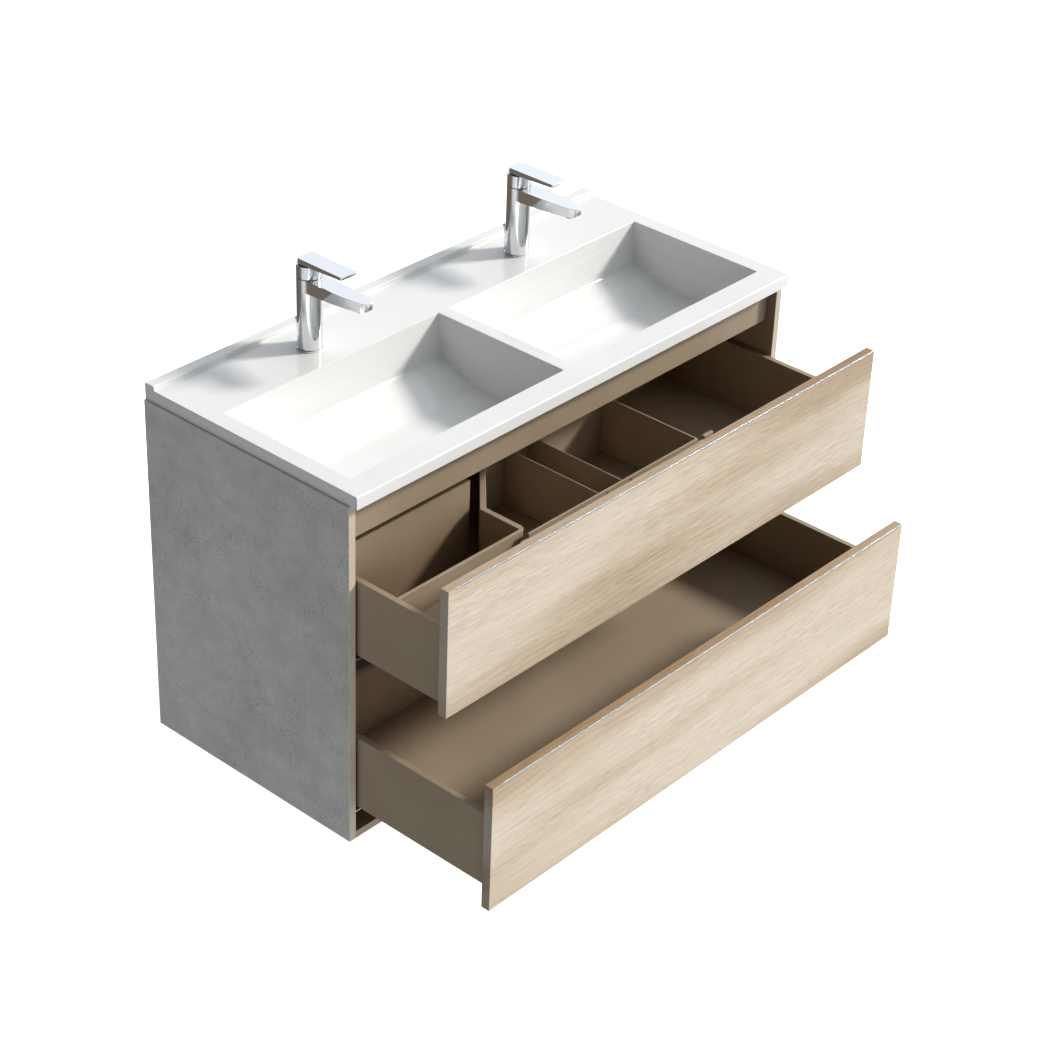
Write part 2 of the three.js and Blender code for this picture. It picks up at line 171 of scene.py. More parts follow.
class Nodes:
    """Short calls that add nodes to one tree. Sockets and plain values mix freely."""

    def __init__(self, tree, coordinates):
        self.tree = tree
        self.place = tree.nodes.new("ShaderNodeTexCoord").outputs[coordinates]

    def put(self, socket, value):
        if isinstance(value, bpy.types.NodeSocket):
            self.tree.links.new(value, socket)
        elif isinstance(value, tuple) and socket.type == "RGBA" and len(value) == 3:
            socket.default_value = (*value, 1)
        else:
            socket.default_value = value

    def stretched(self, x, y, z):
        node = self.tree.nodes.new("ShaderNodeMapping")
        self.put(node.inputs["Vector"], self.place)
        node.inputs["Scale"].default_value = (x, y, z)
        return node.outputs[0]

    def noise(self, vector, scale=1.0, detail=3.0, roughness=0.5, distortion=0.0):
        node = self.tree.nodes.new("ShaderNodeTexNoise")
        self.put(node.inputs["Vector"], vector)
        node.inputs["Scale"].default_value = scale
        node.inputs["Detail"].default_value = detail
        node.inputs["Roughness"].default_value = roughness
        node.inputs["Distortion"].default_value = distortion
        return node.outputs["Fac"]

    def cells(self, vector, scale):
        node = self.tree.nodes.new("ShaderNodeTexVoronoi")
        self.put(node.inputs["Vector"], vector)
        node.inputs["Scale"].default_value = scale
        return node.outputs["Distance"]

    def math(self, operation, a, b=0.0, c=0.0):
        node = self.tree.nodes.new("ShaderNodeMath")
        node.operation = operation
        for socket, value in zip(node.inputs, (a, b, c)):
            self.put(socket, value)
        return node.outputs[0]

    def dot(self, vector, direction):
        node = self.tree.nodes.new("ShaderNodeVectorMath")
        node.operation = "DOT_PRODUCT"
        self.put(node.inputs[0], vector)
        self.put(node.inputs[1], direction)
        return node.outputs["Value"]

    def linear(self, value, low, high, to_low=0.0, to_high=1.0, interpolation="LINEAR"):
        """Maps low..high to to_low..to_high, and stays level outside."""
        node = self.tree.nodes.new("ShaderNodeMapRange")
        node.interpolation_type = interpolation
        for name, number in zip(
            ("Value", "From Min", "From Max", "To Min", "To Max"),
            (value, low, high, to_low, to_high),
        ):
            self.put(node.inputs[name], number)
        return node.outputs[0]

    def between(self, value, low, high, to_low=0.0, to_high=1.0):
        """The same with soft ends."""
        return self.linear(value, low, high, to_low, to_high, "SMOOTHSTEP")

    def ramp(self, value, *stops):
        node = self.tree.nodes.new("ShaderNodeValToRGB")
        self.put(node.inputs["Fac"], value)
        elements = node.color_ramp.elements
        while len(elements) < len(stops):
            elements.new(0.5)
        for element, (position, color) in zip(elements, stops):
            element.position = position
            element.color = (*color, 1)
        return node.outputs["Color"]

    def mix(self, factor, a, b, blend="MIX"):
        node = self.tree.nodes.new("ShaderNodeMix")
        node.data_type = "RGBA"
        node.blend_type = blend
        self.put(node.inputs[0], factor)
        self.put(node.inputs[6], a)
        self.put(node.inputs[7], b)
        return node.outputs[2]

    def gray(self, value):
        """A number as a grey colour, for multiplying a colour by it."""
        node = self.tree.nodes.new("ShaderNodeCombineColor")
        for socket in node.inputs:
            self.put(socket, value)
        return node.outputs[0]

    def along(self, axis):
        """The place along one axis of the frame."""
        split = self.tree.nodes.new("ShaderNodeSeparateXYZ")
        self.put(split.inputs[0], self.place)
        return split.outputs["XYZ".index(axis)]


class Look(Nodes):
    """One procedural material."""

    def __init__(self, name):
        self.material = bpy.data.materials.new(name)
        self.material.use_nodes = True
        super().__init__(self.material.node_tree, "Object")
        self.shader = self.tree.nodes["Principled BSDF"]

    def surface(self, **values):
        """Sets the shader's own sockets, by their names with _ for a space."""
        for name, value in values.items():
            self.put(self.shader.inputs[name.replace("_", " ")], value)

    def normal(self, axis):
        """How far the surface faces along one axis of the frame, from -1 to 1."""
        geometry = self.tree.nodes.new("ShaderNodeNewGeometry")
        split = self.tree.nodes.new("ShaderNodeSeparateXYZ")
        self.tree.links.new(geometry.outputs["Normal"], split.inputs[0])
        return split.outputs["XYZ".index(axis)]

    def paint_hollow_shade(self, tone, shade, reach=0.16):
        """Painted shade: darkens the colour towards the shade colour in corners and hollows that are
        narrower than the reach, where the ambient occlusion is low.
        """
        node = self.tree.nodes.new("ShaderNodeAmbientOcclusion")
        node.samples = 6
        node.inputs["Distance"].default_value = reach
        # Painted shade: the more closed in the place is, the more shade is painted into the colour.
        closed = self.between(node.outputs["AO"], 0.72, 0.22)
        return self.mix(closed, tone, self.mix(1.0, tone, shade, "MULTIPLY"))

    def bump(self, height, distance, strength):
        node = self.tree.nodes.new("ShaderNodeBump")
        node.inputs["Strength"].default_value = strength
        node.inputs["Distance"].default_value = distance
        self.put(node.inputs["Height"], height)
        self.put(self.shader.inputs["Normal"], node.outputs[0])


# ---- materials ---------------------------------------------------------------------------------

def oak():
    """Light oak-look board, grain along X, brushed surface, darker edge band on top."""
    n = Look("oak_board")
    # Broad figure: wandering light and dark bands, with pointed arches of late wood in the dark.
    rings_per_metre = 62.0
    drift = n.noise(n.stretched(1.1, 5, 5), detail=2)
    bend = n.math("MULTIPLY_ADD", drift, 0.16, n.along("Z"))
    bend = n.math("MULTIPLY_ADD", n.noise(n.stretched(9, 40, 40), detail=3), 0.006, bend)
    rings = n.math("FRACT", n.math("MULTIPLY", bend, rings_per_metre))
    late = n.between(rings, 0.55, 0.96)
    late = n.math("MULTIPLY", late, n.between(rings, 1.0, 0.965))
    # Each front is light along its middle and darker towards its top and bottom edges.
    swell_turn, swell_start = 17.85, 1.91
    swing = n.noise(n.stretched(1.4, 3, 3), detail=2)
    swell = n.math("MULTIPLY_ADD", swing, 0.12, n.along("Z"))
    swell = n.math("COSINE", n.math("MULTIPLY_ADD", swell, swell_turn, swell_start))
    bands = n.noise(n.stretched(0.9, 9, 9), detail=2, roughness=0.45)
    bands = n.math("MULTIPLY_ADD", swell, 0.14, bands)
    # Fine figure: long fibres, short brushed ripples and open pores.
    fibres = n.noise(n.stretched(7, 420, 420), detail=4, roughness=0.65)
    ripples = n.noise(n.stretched(22, 350, 350), detail=2, roughness=0.5, distortion=0.2)
    waves = n.noise(n.stretched(3.5, 14, 14), detail=2)
    pores = n.noise(n.stretched(38, 1300, 1300), detail=2, roughness=0.5)
    pores = n.between(pores, 0.58, 0.72)
    light = n.between(bands, 0.30, 0.68)
    tone = n.ramp(
        light,
        (0.0, (0.455, 0.336, 0.220)),
        (0.5, (0.578, 0.468, 0.346)),
        (1.0, (0.665, 0.573, 0.458)),
    )
    late = n.math("MULTIPLY", late, n.between(light, 0.75, 0.1, 0.08, 0.42))
    tone = n.mix(late, tone, (0.38, 0.265, 0.160))
    tone = n.mix(1.0, tone, n.gray(n.between(fibres, 0.25, 0.75, 0.90, 1.07)), "MULTIPLY")
    # The brushed ripples are strong in some places and almost gone in others.
    brushed = n.mix(n.between(ripples, 0.40, 0.58), (0.90, 0.875, 0.84), (1.03, 1.03, 1.03))
    brushed = n.mix(n.between(waves, 0.36, 0.60, 0.2, 1.0), (1.0, 1.0, 1.0), brushed)
    tone = n.mix(1.0, tone, brushed, "MULTIPLY")
    tone = n.mix(n.math("MULTIPLY", pores, 0.26), tone, (0.27, 0.19, 0.115))
    top_face = n.between(n.normal("Z"), 0.6, 0.9)
    tone = n.mix(n.math("MULTIPLY", top_face, 0.85), tone,
                 n.mix(1.0, tone, (0.80, 0.70, 0.60), "MULTIPLY"))
    end_face = n.between(n.math("ABSOLUTE", n.normal("X")), 0.6, 0.9)
    tone = n.mix(n.math("MULTIPLY", end_face, 0.9), tone,
                 n.mix(1.0, tone, (0.74, 0.76, 0.80), "MULTIPLY"))
    n.surface(Base_Color=tone, Roughness=n.between(fibres, 0.2, 0.8, 0.46, 0.62),
              Specular_IOR_Level=0.35)
    height = n.math("MULTIPLY_ADD", pores, -0.7, fibres)
    height = n.math("MULTIPLY_ADD", ripples, 0.6, height)
    n.bump(height, 0.00035, 0.8)
    return n.material


def concrete():
    """Grey concrete-look board with clouds, pits and fine scratches, and a beige front edge band."""
    n = Look("concrete_board")
    clouds = n.noise(n.place, 3.2, 4, 0.62, 0.4)
    blots = n.noise(n.place, 26, 4, 0.65)
    grain = n.noise(n.place, 360, 3, 0.7)
    streaks = n.noise(n.stretched(1, 5, 34), 1.0, 3, 0.6)
    tone = n.ramp(
        n.between(clouds, 0.30, 0.70),
        (0.0, (0.600, 0.590, 0.550)),
        (0.5, (0.648, 0.646, 0.610)),
        (1.0, (0.688, 0.692, 0.662)),
    )
    tone = n.mix(1.0, tone, n.gray(n.between(blots, 0.3, 0.7, 0.93, 1.06)), "MULTIPLY")
    tone = n.mix(1.0, tone, n.gray(n.between(streaks, 0.3, 0.7, 0.97, 1.03)), "MULTIPLY")
    tone = n.mix(1.0, tone, n.gray(n.between(grain, 0.3, 0.7, 0.92, 1.07)), "MULTIPLY")
    # Pits gather where a coarser noise is high.
    crowd = n.between(n.noise(n.place, 9, 2, 0.5), 0.42, 0.64)
    pits = n.between(n.noise(n.stretched(1, 0.6, 1.2), 230, 2, 0.6), 0.57, 0.69)
    pits = n.math("MULTIPLY", pits, n.math("MULTIPLY_ADD", crowd, 0.85, 0.15))
    specks = n.between(n.noise(n.place, 480, 2, 0.5), 0.64, 0.71)
    tone = n.mix(n.math("MULTIPLY", pits, 0.62), tone, (0.210, 0.185, 0.135))
    tone = n.mix(n.math("MULTIPLY", specks, 0.45), tone, (0.24, 0.220, 0.175))
    # A few thin scratches run across the board, aslant and wavy.
    pitch, width, slope = 0.085, 0.0011, -0.22
    slant = n.math("MULTIPLY_ADD", n.noise(n.place, 6, 2), 0.05, n.along("Z"))
    hair = n.math("PINGPONG", n.math("MULTIPLY_ADD", n.along("Y"), slope, slant), pitch)
    hair = n.between(hair, width, 0.0)
    broken = n.between(n.noise(n.stretched(6, 6, 6), 1.0, 2), 0.56, 0.64)
    tone = n.mix(n.math("MULTIPLY", hair, n.math("MULTIPLY", broken, 0.7)), tone,
                 (0.24, 0.21, 0.165))
    front_edge = n.between(n.normal("Y"), -0.6, -0.9)
    tone = n.mix(front_edge, tone, n.mix(grain, (0.585, 0.500, 0.395), (0.640, 0.555, 0.445)))
    # The panels' inner faces are taupe like the drawers.
    inward = n.math("MULTIPLY", n.normal("X"), n.math("SIGN", n.along("X")))
    inward = n.between(inward, -0.6, -0.9)
    tone = n.mix(inward, tone, n.mix(grain, (0.370, 0.285, 0.196), (0.410, 0.318, 0.222)))
    n.surface(Base_Color=tone, Roughness=n.between(blots, 0.3, 0.7, 0.55, 0.72),
              Specular_IOR_Level=0.35)
    height = n.math("MULTIPLY_ADD", pits, -1.6, grain)
    n.bump(height, 0.0003, 0.7)
    return n.material


def taupe_board():
    """Matt taupe melamine: almost even, with a fine pearl texture, and painted shade in its corners and
    hollows.
    """
    n = Look("taupe_board")
    clouds = n.noise(n.place, 5, 3, 0.5)
    pearl = n.noise(n.place, 900, 2, 0.6)
    tone = n.ramp(
        n.between(clouds, 0.3, 0.7),
        (0.0, (0.352, 0.270, 0.184)),
        (1.0, (0.392, 0.305, 0.213)),
    )
    tone = n.mix(1.0, tone, n.gray(n.between(pearl, 0.3, 0.7, 0.965, 1.03)), "MULTIPLY")
    # Painted shade: the colour darkens in corners and hollows, from ambient occlusion.
    tone = n.paint_hollow_shade(tone, (0.52, 0.43, 0.35))
    n.surface(Base_Color=tone, Roughness=n.between(pearl, 0.3, 0.7, 0.44, 0.56),
              Specular_IOR_Level=0.4)
    n.bump(pearl, 0.00008, 0.5)
    return n.material


def taupe_plastic():
    """Moulded taupe plastic with a fine eroded grain, and painted shade in its tight corners."""
    n = Look("taupe_plastic")
    clouds = n.noise(n.place, 9, 2, 0.5)
    erosion = n.noise(n.place, 1500, 3, 0.6)
    tone = n.ramp(
        n.between(clouds, 0.3, 0.7),
        (0.0, (0.380, 0.296, 0.206)),
        (1.0, (0.415, 0.329, 0.236)),
    )
    tone = n.mix(1.0, tone, n.gray(n.between(erosion, 0.3, 0.7, 0.96, 1.03)), "MULTIPLY")
    # Painted shade: the colour darkens in tight corners, from ambient occlusion.
    tone = n.paint_hollow_shade(tone, (0.72, 0.65, 0.58), 0.08)
    n.surface(Base_Color=tone, Roughness=0.48, Specular_IOR_Level=0.45)
    n.bump(erosion, 0.00006, 0.5)
    return n.material


def mineral_cast():
    """Glossy white mineral cast with faint casting streaks along X."""
    n = Look("white_ceramic")
    streaks = n.noise(n.stretched(3, 3, 150), 1.0, 3, 0.6)
    clouds = n.noise(n.place, 4, 3, 0.5)
    tone = n.ramp(
        n.between(clouds, 0.3, 0.7),
        (0.0, (0.835, 0.838, 0.828)),
        (1.0, (0.862, 0.865, 0.858)),
    )
    tone = n.mix(1.0, tone, n.gray(n.between(streaks, 0.25, 0.75, 0.965, 1.01)), "MULTIPLY")
    n.surface(Base_Color=tone, Roughness=n.between(streaks, 0.2, 0.8, 0.10, 0.17),
              Specular_IOR_Level=0.5, Coat_Weight=0.12, Coat_Roughness=0.08)
    n.bump(n.noise(n.place, 14, 2, 0.4), 0.0006, 0.12)
    return n.material


def chrome():
    """Polished chrome with faint wipe marks."""
    n = Look("chrome")
    wipes = n.noise(n.stretched(60, 60, 14), 1.0, 3, 0.6)
    n.surface(Base_Color=(0.80, 0.81, 0.83), Metallic=1.0,
              Roughness=n.between(wipes, 0.3, 0.7, 0.035, 0.085))
    n.bump(n.noise(n.place, 45, 1, 0.3), 0.0003, 0.06)
    return n.material


def aluminium():
    """Bright aluminium strip with fine lines along X."""
    n = Look("aluminium_strip")
    lines = n.noise(n.stretched(6, 3000, 3000), 1.0, 3, 0.6)
    tone = n.mix(1.0, (0.44, 0.43, 0.41), n.gray(n.between(lines, 0.3, 0.7, 0.93, 1.0)), "MULTIPLY")
    n.surface(Base_Color=tone, Metallic=1.0, Roughness=n.between(lines, 0.3, 0.7, 0.28, 0.42))
    n.bump(lines, 0.00005, 0.5)
    return n.material


def zinc_steel():
    """Zinc-plated sheet steel with faint spangles and rolling marks."""
    n = Look("zinc_steel")
    spangle = n.cells(n.place, 160)
    rolled = n.noise(n.stretched(300, 8, 300), 1.0, 3, 0.6)
    tone = n.mix(n.between(spangle, 0.1, 0.7), (0.56, 0.565, 0.57), (0.66, 0.66, 0.65))
    tone = n.mix(1.0, tone, n.gray(n.between(rolled, 0.3, 0.7, 0.9, 1.05)), "MULTIPLY")
    n.surface(Base_Color=tone, Metallic=0.9, Roughness=n.between(rolled, 0.3, 0.7, 0.32, 0.46))
    n.bump(rolled, 0.00006, 0.4)
    return n.material


def aerator_plastic():
    """Grey moulded plastic of the spout inserts."""
    n = Look("aerator_plastic")
    grain = n.noise(n.place, 1800, 2, 0.6)
    tone = n.mix(grain, (0.20, 0.205, 0.215), (0.27, 0.275, 0.285))
    n.surface(Base_Color=tone, Roughness=0.42)
    n.bump(grain, 0.00005, 0.4)
    return n.material


LOOKS = {
    "oak_board": oak(),
    "concrete_board": concrete(),
    "taupe_board": taupe_board(),
    "taupe_plastic": taupe_plastic(),
    "white_ceramic": mineral_cast(),
    "chrome": chrome(),
    "aluminium_strip": aluminium(),
    "zinc_steel": zinc_steel(),
    "aerator_plastic": aerator_plastic(),
}


# ---- mesh tools ----------------------------------------------------------------------------------

NEARLY_STRAIGHT = 82
BEVEL_ABOVE = 30
SHARP_ABOVE = 50


def arc(cx, cy, radius, start, end, steps):
    """Points of an arc, from one angle to the other in degrees."""
    angles = (math.radians(start + (end - start) * i / steps) for i in range(steps + 1))
    return [(cx + radius * math.cos(a), cy + radius * math.sin(a)) for a in angles]


def rounded(points, radius, steps=4, closed=True):
    """The outline with each corner turned into an arc that fits between its neighbours."""
    made = []
    count = len(points)
    for i, corner in enumerate(points):
        if not closed and i in (0, count - 1):
            made.append(tuple(corner))
            continue
        here = Vector(corner)
        before = Vector(points[i - 1]) - here
        after = Vector(points[(i + 1) % count]) - here
        half_turn = before.angle(after) / 2
        if half_turn > math.radians(NEARLY_STRAIGHT):
            made.append(tuple(corner))
            continue
        reach = min(radius / math.tan(half_turn), before.length * 0.49, after.length * 0.49)
        start = here + before.normalized() * reach
        end = here + after.normalized() * reach
        for k in range(steps + 1):
            t = k / steps
            point = start * (1 - t) ** 2 + here * (2 * t * (1 - t)) + end * t ** 2
            made.append(tuple(point))
    return made


# Where a point of an outline (u, v) goes when it is moved to t along an axis.
AXES = {
    "X": lambda u, v, t: (t, u, v),
    "Y": lambda u, v, t: (u, t, v),
    "Z": lambda u, v, t: (u, v, t),
}


def prism(outline, axis, start, end):
    """A closed bmesh: an outline in the two other axes, run along one axis."""
    bm = bmesh.new()
    place = AXES[axis]
    low = [bm.verts.new(place(u, v, start)) for u, v in outline]
    high = [bm.verts.new(place(u, v, end)) for u, v in outline]
    bm.faces.new(low)
    bm.faces.new(high[::-1])
    for i in range(len(outline)):
        j = (i + 1) % len(outline)
        bm.faces.new((low[i], high[i], high[j], low[j]))
    bmesh.ops.recalc_face_normals(bm, faces=bm.faces)
    return bm


def lathe(profile, segments, centre):
    """A closed bmesh turned about a vertical line. The profile's points are (radius, height)."""
    bm = bmesh.new()
    x, y, z = centre
    rows = []
    for radius, height in profile:
        if radius < 1e-7:
            rows.append([bm.verts.new((x, y, z + height))])
            continue
        turn = [2 * math.pi * i / segments for i in range(segments)]
        rows.append([
            bm.verts.new((x + radius * math.cos(a), y + radius * math.sin(a), z + height))
            for a in turn
        ])
    closed = len(rows[0]) > 1
    pairs = list(zip(rows, rows[1:])) + ([(rows[-1], rows[0])] if closed else [])
    for low, high in pairs:
        for i in range(segments):
            j = (i + 1) % segments
            corners = [
                low[i % len(low)], low[j % len(low)], high[j % len(high)], high[i % len(high)],
            ]
            face = list(dict.fromkeys(corners))
            if len(face) > 2:
                bm.faces.new(face)
    bmesh.ops.recalc_face_normals(bm, faces=bm.faces)
    return bm


def middle(box):
    """The middle of a box that is given by its two corners."""
    low, high = box
    return (low + high) / 2


def rectangle(left, low, right, high):
    return [(left, low), (right, low), (right, high), (left, high)]


def to_object(name, bm):
    mesh = bpy.data.meshes.new(name)
    bm.to_mesh(mesh)
    bm.free()
    made = bpy.data.objects.new(name, mesh)
    bpy.context.scene.collection.objects.link(made)
    return made


def bake_modifiers(piece):
    """Replaces the piece's mesh by its evaluated one."""
    bpy.context.view_layer.update()
    graph = bpy.context.evaluated_depsgraph_get()
    mesh = bpy.data.meshes.new_from_object(piece.evaluated_get(graph))
    piece.modifiers.clear()
    piece.data = mesh


def cut(piece, others, operation="DIFFERENCE"):
    """Cuts, joins or intersects the piece with other bmeshes."""
    for i, bm in enumerate(others):
        tool = to_object(f"tool_{i}", bm)
        modifier = piece.modifiers.new("cut", "BOOLEAN")
        modifier.operation = operation
        modifier.solver = "EXACT"
        modifier.object = tool
        bake_modifiers(piece)
        bpy.data.objects.remove(tool)
    return piece


def round_edges(piece, width, segments, above, corner="MITER_SHARP"):
    """Rounds the edges that turn by more than an angle in degrees."""
    bevel = piece.modifiers.new("bevel", "BEVEL")
    bevel.width = width
    bevel.segments = segments
    bevel.limit_method = "ANGLE"
    bevel.angle_limit = math.radians(above)
    bevel.miter_outer = corner
    bake_modifiers(piece)


def soften(piece, width, segments=2):
    """Rounds the sharp edges and sets smooth normals that stay flat on the flat faces."""
    if width:
        round_edges(piece, width, segments, BEVEL_ABOVE, "MITER_ARC")
    for polygon in piece.data.polygons:
        polygon.use_smooth = True
    piece.data.set_sharp_from_angle(angle=math.radians(SHARP_ABOVE))
    weighted = piece.modifiers.new("normals", "WEIGHTED_NORMAL")
    weighted.keep_sharp = True
    weighted.weight = 80
    bake_modifiers(piece)
    return piece


def dress(piece, node, *more):
    """The piece stands for one or more CAD nodes: it takes their body, slot and material."""
    slot = SLOT_OF[node]
    piece.data.materials.clear()
    piece.data.materials.append(LOOKS[slot])
    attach(piece, BODY_OF[node])
    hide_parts(node, *more)
    return piece


def trim(piece, body, slot):
    """A small extra piece that no CAD node stands for."""
    piece.data.materials.clear()
    piece.data.materials.append(LOOKS[slot])
    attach(piece, body)
    return piece


def refine(node, width, segments=2):
    """A copy of a CAD node with clean faces and rounded edges, in its place."""
    bm = clean_mesh(frame["nodes"][node].data)
    return dress(soften(to_object(f"{node}_fine", bm), width, segments), node)


def clean_mesh(mesh):
    """A bmesh of the mesh, without doubled points and edges inside flat faces."""
    bm = bmesh.new()
    bm.from_mesh(mesh)
    bmesh.ops.remove_doubles(bm, verts=bm.verts, dist=1e-6)
    bmesh.ops.dissolve_limit(bm, angle_limit=math.radians(0.5), verts=bm.verts, edges=bm.edges)
    bmesh.ops.recalc_face_normals(bm, faces=bm.faces)
    return bm


# ---- boards, drawer boxes and inserts ----------------------------------------------------------------

EDGES = {
    # slot: radius of the edges, segments
    "concrete_board": (0.6 * MM, 2),
    "taupe_board": (0.6 * MM, 2),
    "oak_board": (0.9 * MM, 3),
    "taupe_plastic": (1.0 * MM, 3),
    "aluminium_strip": (0.5 * MM, 2),
    "zinc_steel": (0.35 * MM, 2),
}


def refine_boards():
    """Every node of boards, plastic walls, strips and runners, but for the organiser's front wall."""
    for node, slot in SLOT_OF.items():
        if slot in EDGES and node != "organiser_front":
            refine(node, *EDGES[slot])


def add_organiser_front():
    """The organiser's front wall with a recess beside each divider and a catch at its right end."""
    node = "organiser_front"
    low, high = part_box(node)
    face, top = low.y, high.z
    recess_depth = 1.8 * MM
    recesses = []
    for divider in ("organiser_divider_left", "organiser_divider_right"):
        divider_low, divider_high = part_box(divider)
        left = divider_low.x + 20 * MM
        right = divider_high.x + 22 * MM
        outline = rectangle(left, top - 18 * MM, right, top - 5 * MM)
        recesses.append(prism(outline, "Y", face - 1 * MM, face + recess_depth))
    wall = to_object(f"{node}_fine", clean_mesh(frame["nodes"][node].data))
    cut(wall, recesses)
    dress(soften(wall, 0.6 * MM), node)
    # The catch carries on from the wall's right end.
    length, thickness = 28 * MM, 8 * MM
    outline = rectangle(high.x, top - 16 * MM, high.x + length, top - 3 * MM)
    catch = to_object("organiser_catch", prism(outline, "Y", face, face + thickness))
    trim(soften(catch, 1.5 * MM, 3), BODY_OF[node], SLOT_OF[node])


# ---- basin top -----------------------------------------------------------------------------------------

UPSTAND_HEIGHT = 9 * MM
UPSTAND_DEPTH = 24 * MM
SLAB_THICKNESS = 25 * MM
FRONT_RIM = 52 * MM
REAR_DECK = 168 * MM
SIDE_RIM = 36 * MM
MIDDLE_RIM = 15 * MM
BOWL_WALL = 12 * MM
BOWL_FLOOR = 16 * MM


def add_basin_top():
    """The slab with its upstand and the bowl below it, with two basins and their holes cut out."""
    low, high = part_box("basin_top")
    front, rear, crest = low.y, high.y, high.z
    deck = crest - UPSTAND_HEIGHT
    slab_under = deck - SLAB_THICKNESS
    top_edge, deck_edge = 2.5 * MM, 3 * MM
    slab = [
        (front, slab_under),
        (rear, slab_under),
        *arc(rear - top_edge, crest - top_edge, top_edge, 0, 90, 5),
        *arc(rear - UPSTAND_DEPTH + top_edge, crest - top_edge, top_edge, 90, 180, 5),
        *arc(rear - UPSTAND_DEPTH - deck_edge, deck + deck_edge, deck_edge, 360, 270, 5),
        *arc(front + deck_edge, deck - deck_edge, deck_edge, 90, 180, 5),
    ]
    inner_front = front + FRONT_RIM
    inner_rear = rear - REAR_DECK
    bowl_rear = inner_rear + BOWL_WALL
    bowl_under = low.z
    floor = bowl_under + BOWL_FLOOR
    bowl = [
        *arc(inner_front + 36 * MM, bowl_under + 14 * MM, 14 * MM, 180, 270, 8),
        *arc(bowl_rear - 20 * MM, bowl_under + 20 * MM, 20 * MM, 270, 360, 8),
        (bowl_rear, slab_under + 1 * MM),
        (inner_front + 2 * MM, slab_under + 1 * MM),
        (inner_front + 8 * MM, floor + 68 * MM),
    ]
    # The front wall is steep, and the floor rises towards the rear wall.
    hollow = [
        (inner_front, deck + 20 * MM),
        (inner_front, deck),
        (inner_front + 17 * MM, deck - 37 * MM),
        *arc(inner_front + 46 * MM, floor + 14 * MM, 14 * MM, 180, 270, 8),
        (rear - 286 * MM, floor),
        (rear - 280 * MM, floor + 0.3 * MM),
        (rear - 274 * MM, floor + 1.6 * MM),
        (rear - 190 * MM, floor + 26.5 * MM),
        (rear - 184 * MM, floor + 29 * MM),
        (rear - 179.5 * MM, floor + 33 * MM),
        (rear - 177 * MM, floor + 38.5 * MM),
        (inner_rear, deck),
        (inner_rear, deck + 20 * MM),
    ]
    top = to_object("basin_top_fine", prism(slab, "X", low.x, high.x))
    bowl_end = high.x - SIDE_RIM + BOWL_WALL
    cut(top, [prism(bowl, "X", -bowl_end, bowl_end)], "UNION")
    rod_hole = rectangle(0, -40 * MM, 4 * MM, 10 * MM)
    waste_hole = rectangle(0, -30 * MM, 22 * MM, 10 * MM)
    for side, sign in SIDES:
        ends = sorted((sign * MIDDLE_RIM, sign * (high.x - SIDE_RIM)))
        rod = middle(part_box(f"tap_{side}_lift_rod"))
        ring = middle(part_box(f"waste_ring_{side}"))
        cut(top, [
            pillow(hollow, *ends, 2.5 * MM),
            lathe(rod_hole, 32, (rod.x, rod.y, deck)),
            lathe(waste_hole, 64, (ring.x, ring.y, floor)),
        ])
    margin = 5 * MM
    near = Vector((-high.x + SIDE_RIM - margin, inner_front - margin))
    far = Vector((high.x - SIDE_RIM + margin, inner_rear + margin))
    round_rims(top, deck, near, far, 1.2 * MM)
    soften(top, 0)
    dress(top, "basin_top")


def inset(outline, distance):
    """The outline moved inwards by a distance, corner by corner."""
    count = len(outline)
    area = sum(
        outline[i][0] * outline[(i + 1) % count][1] - outline[(i + 1) % count][0] * outline[i][1]
        for i in range(count)
    )
    turn = 1 if area > 0 else -1
    made = []
    for i in range(count):
        here = Vector(outline[i])
        before = (here - Vector(outline[i - 1])).normalized()
        after = (Vector(outline[(i + 1) % count]) - here).normalized()
        inward_before = Vector((-before.y, before.x)) * turn
        inward_after = Vector((-after.y, after.x)) * turn
        middle = (inward_before + inward_after).normalized()
        made.append(tuple(here + middle * (distance / max(middle.dot(inward_before), 0.3))))
    return made


def pillow(outline, start, end, radius, steps=5):
    """A prism along X whose outline shrinks over a quarter round at both ends."""
    turns = [math.radians(90 * k / steps) for k in range(steps + 1)]
    rows = [(start + radius * (1 - math.cos(a)), radius * (1 - math.sin(a))) for a in turns]
    rows += [(start + end - x, shrink) for x, shrink in reversed(rows)]
    bm = bmesh.new()
    loops = [
        [bm.verts.new((x, y, z)) for y, z in inset(outline, shrink)] for x, shrink in rows
    ]
    bm.faces.new(loops[0])
    bm.faces.new(loops[-1][::-1])
    for low, high in zip(loops, loops[1:]):
        for i in range(len(outline)):
            j = (i + 1) % len(outline)
            bm.faces.new((low[i], high[i], high[j], low[j]))
    bmesh.ops.recalc_face_normals(bm, faces=bm.faces)
    return bm


def round_rims(top, deck, near, far, radius):
    """Rounds the sharp edges on the deck that lie between two corners of a rectangle."""
    bm = bmesh.new()
    bm.from_mesh(top.data)
    bmesh.ops.remove_doubles(bm, verts=bm.verts, dist=1e-6)
    bmesh.ops.dissolve_limit(
        bm, angle_limit=math.radians(0.2), verts=bm.verts, edges=bm.edges,
    )

    def on_rim(vert):
        x, y, z = vert.co
        return abs(z - deck) < 1e-5 and near.x < x < far.x and near.y < y < far.y

    rims = [
        e for e in bm.edges
        if all(on_rim(v) for v in e.verts)
        and len(e.link_faces) == 2
        and e.calc_face_angle(0) > math.radians(40)
    ]
    bmesh.ops.bevel(
        bm, geom=rims, offset=radius, segments=4, profile=0.5, affect="EDGES",
        clamp_overlap=False,
    )
    bm.to_mesh(top.data)
    bm.free()


# ---- wastes and mixers ---------------------------------------------------------------------------------

def in_mm(points):
    return [(a * MM, b * MM) for a, b in points]


